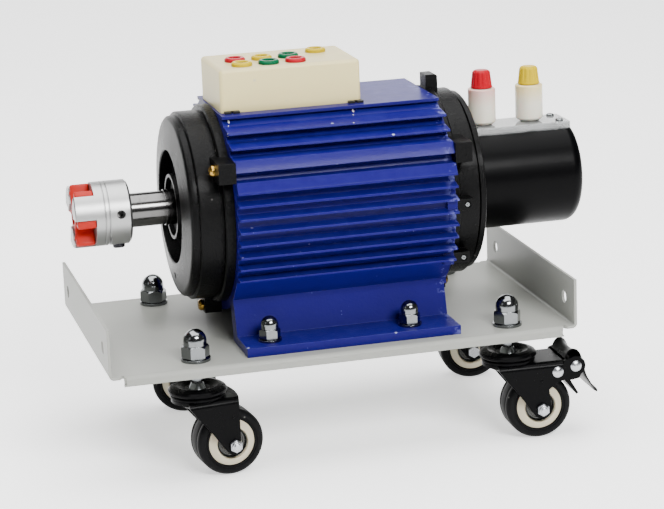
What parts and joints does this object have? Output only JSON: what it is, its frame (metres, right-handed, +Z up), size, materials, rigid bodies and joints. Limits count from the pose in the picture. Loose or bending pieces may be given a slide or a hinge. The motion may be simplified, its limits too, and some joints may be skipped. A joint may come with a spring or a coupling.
{
  "type": "three-phase generator model",
  "caption": "Demonstration generator on a castered sheet-metal base: finned housing, flanged end shields, jaw coupling, round slip-ring cover with binding posts, terminal box with plug sockets.",
  "frame": {"origin": "on the floor under the middle of the whole object's length, in the plane of the shaft", "axes": "+X along the shaft from the coupling towards the slip-ring cover, +Z up, +Y away from the braked side"},
  "size_m": [0.3662, 0.1972, 0.2742],
  "materials": {
    "base_paint": "light warm grey paint on folded sheet steel",
    "blue_casting": "blue gloss paint on an aluminium casting",
    "black_casting": "black gloss paint on an aluminium casting",
    "lamination": "stacked electrical steel sheets",
    "winding": "enamelled copper wire",
    "yellow_zinc": "steel with yellow zinc plating",
    "bright_zinc": "steel with bright zinc plating",
    "bearing_steel": "ground bearing steel",
    "seal_rubber": "black nitrile rubber",
    "cover_black": "black satin paint on a deep-drawn cover",
    "holder_black": "black insulating plastic",
    "carbon": "pressed carbon",
    "clear": "clear acrylic sheet",
    "nickel": "nickel-plated brass",
    "post_white": "translucent white plastic",
    "plastic_red": "red plastic",
    "plastic_yellow": "yellow plastic",
    "plastic_green": "green plastic",
    "box_cream": "cream moulded plastic",
    "box_black": "black moulded plastic",
    "black_paint": "black gloss paint on pressed steel",
    "shaft_steel": "turned and ground steel",
    "ring_bronze": "polished bronze",
    "sleeve": "moulded insulating resin",
    "coupling_alloy": "turned aluminium",
    "spider_red": "red-orange polyurethane",
    "black_oxide": "black oxide on steel",
    "rim_cream": "cream moulded plastic",
    "tyre": "solid black rubber tyre"
  },
  "bodies": {
    "generator": {"base_plate": "base_paint", "stator_housing": "blue_casting", "stator_core": "lamination", "stator_windings": "winding", "drive_end_shield": "black_casting", "rear_end_shield": "black_casting", "shield_screws": "yellow_zinc", "rear_small_screws": "bright_zinc", "bearing_outer_rings": "bearing_steel", "shaft_seal": "seal_rubber", "slip_ring_cover": "cover_black", "brush_holders": "holder_black", "brushes": "carbon", "terminal_plate": "clear", "terminal_plate_screws": "bright_zinc", "post_studs": "nickel", "post_bodies": "post_white", "terminal_box": "box_cream", "terminal_box_base": "box_black", "socket_collars_red": "plastic_red", "socket_collars_yellow": "plastic_yellow", "socket_collars_green": "plastic_green", "socket_contacts": "nickel", "foot_bolts": "bright_zinc", "foot_washers": "bright_zinc", "foot_cap_nuts": "bright_zinc", "stem_washers": "bright_zinc", "stem_cap_nuts": "bright_zinc", "caster_stems": "bright_zinc", "caster_cups": "black_paint"},
    "rotor": {"shaft": "shaft_steel", "rotor_core": "lamination", "rotor_windings": "winding", "slip_rings": "ring_bronze", "slip_ring_sleeve": "sleeve", "bearing_inner_rings": "bearing_steel", "coupling_hub": "coupling_alloy", "coupling_spider": "spider_red", "coupling_screw": "black_oxide"},
    "cap_red": {"post_cap_red": "plastic_red"},
    "cap_yellow": {"post_cap_yellow": "plastic_yellow"},
    "swivel_fl": {"caster_fork_fl": "black_paint", "caster_axle_fl": "bright_zinc"},
    "wheel_fl": {"caster_rim_fl": "rim_cream", "caster_tyre_fl": "tyre"},
    "swivel_fr": {"caster_fork_fr": "black_paint", "caster_axle_fr": "bright_zinc", "brake_pins": "bright_zinc"},
    "wheel_fr": {"caster_rim_fr": "rim_cream", "caster_tyre_fr": "tyre"},
    "swivel_br": {"caster_fork_br": "black_paint", "caster_axle_br": "bright_zinc"},
    "wheel_br": {"caster_rim_br": "rim_cream", "caster_tyre_br": "tyre"},
    "swivel_bl": {"caster_fork_bl": "black_paint", "caster_axle_bl": "bright_zinc"},
    "wheel_bl": {"caster_rim_bl": "rim_cream", "caster_tyre_bl": "tyre"},
    "pedal": {"brake_pedal": "black_paint"},
    "shoe": {"brake_shoe": "black_paint"}
  },
  "joints": [
    {"name": "rotor_spin", "type": "hinge", "parent": "generator", "child": "rotor", "pos_m": [0, 0, 0.1724], "axis": [1, 0, 0], "continuous": true},
    {"name": "cap_red_turn", "type": "hinge", "parent": "generator", "child": "cap_red", "pos_m": [0.11745, 0, 0.2424], "axis": [0, 0, 1], "range_deg": [0, 1080]},
    {"name": "cap_yellow_turn", "type": "hinge", "parent": "generator", "child": "cap_yellow", "pos_m": [0.15315, 0, 0.2424], "axis": [0, 0, 1], "range_deg": [0, 1080]},
    {"name": "caster_fl_swivel", "type": "hinge", "parent": "generator", "child": "swivel_fl", "pos_m": [-0.11535, -0.0759, 0.0564], "axis": [0, 0, 1], "continuous": true},
    {"name": "caster_fl_roll", "type": "hinge", "parent": "swivel_fl", "child": "wheel_fl", "pos_m": [-0.09627, -0.07373, 0.0236], "axis": [-0.1132, 0.9936, 0], "continuous": true},
    {"name": "caster_fr_swivel", "type": "hinge", "parent": "generator", "child": "swivel_fr", "pos_m": [0.10765, -0.0759, 0.0564], "axis": [0, 0, 1], "continuous": true},
    {"name": "caster_fr_roll", "type": "hinge", "parent": "swivel_fr", "child": "wheel_fr", "pos_m": [0.12684, -0.0765, 0.0236], "axis": [0.0314, 0.9995, 0], "continuous": true},
    {"name": "caster_br_swivel", "type": "hinge", "parent": "generator", "child": "swivel_br", "pos_m": [0.10765, 0.0759, 0.0564], "axis": [0, 0, 1], "continuous": true},
    {"name": "caster_br_roll", "type": "hinge", "parent": "swivel_br", "child": "wheel_br", "pos_m": [0.12672, 0.07366, 0.0236], "axis": [0.1167, 0.9932, 0], "continuous": true},
    {"name": "caster_bl_swivel", "type": "hinge", "parent": "generator", "child": "swivel_bl", "pos_m": [-0.11535, 0.0759, 0.0564], "axis": [0, 0, 1], "continuous": true},
    {"name": "caster_bl_roll", "type": "hinge", "parent": "swivel_bl", "child": "wheel_bl", "pos_m": [-0.09649, 0.0723, 0.0236], "axis": [0.1874, 0.9823, 0], "continuous": true},
    {"name": "brake_press", "type": "hinge", "parent": "swivel_fr", "child": "pedal", "pos_m": [0.15173, -0.07729, 0.0527], "axis": [0.0314, 0.9995, 0], "range_deg": [0, 20]},
    {"name": "brake_shoe_swing", "type": "hinge", "parent": "swivel_fr", "child": "shoe", "pos_m": [0.13843, -0.07687, 0.0497], "axis": [0.0314, 0.9995, 0], "range_deg": [0, 3.2]}
  ],
  "couplings": [
    {"joint": "brake_shoe_swing", "follows": "brake_press", "ratio": 0.16}
  ]
}
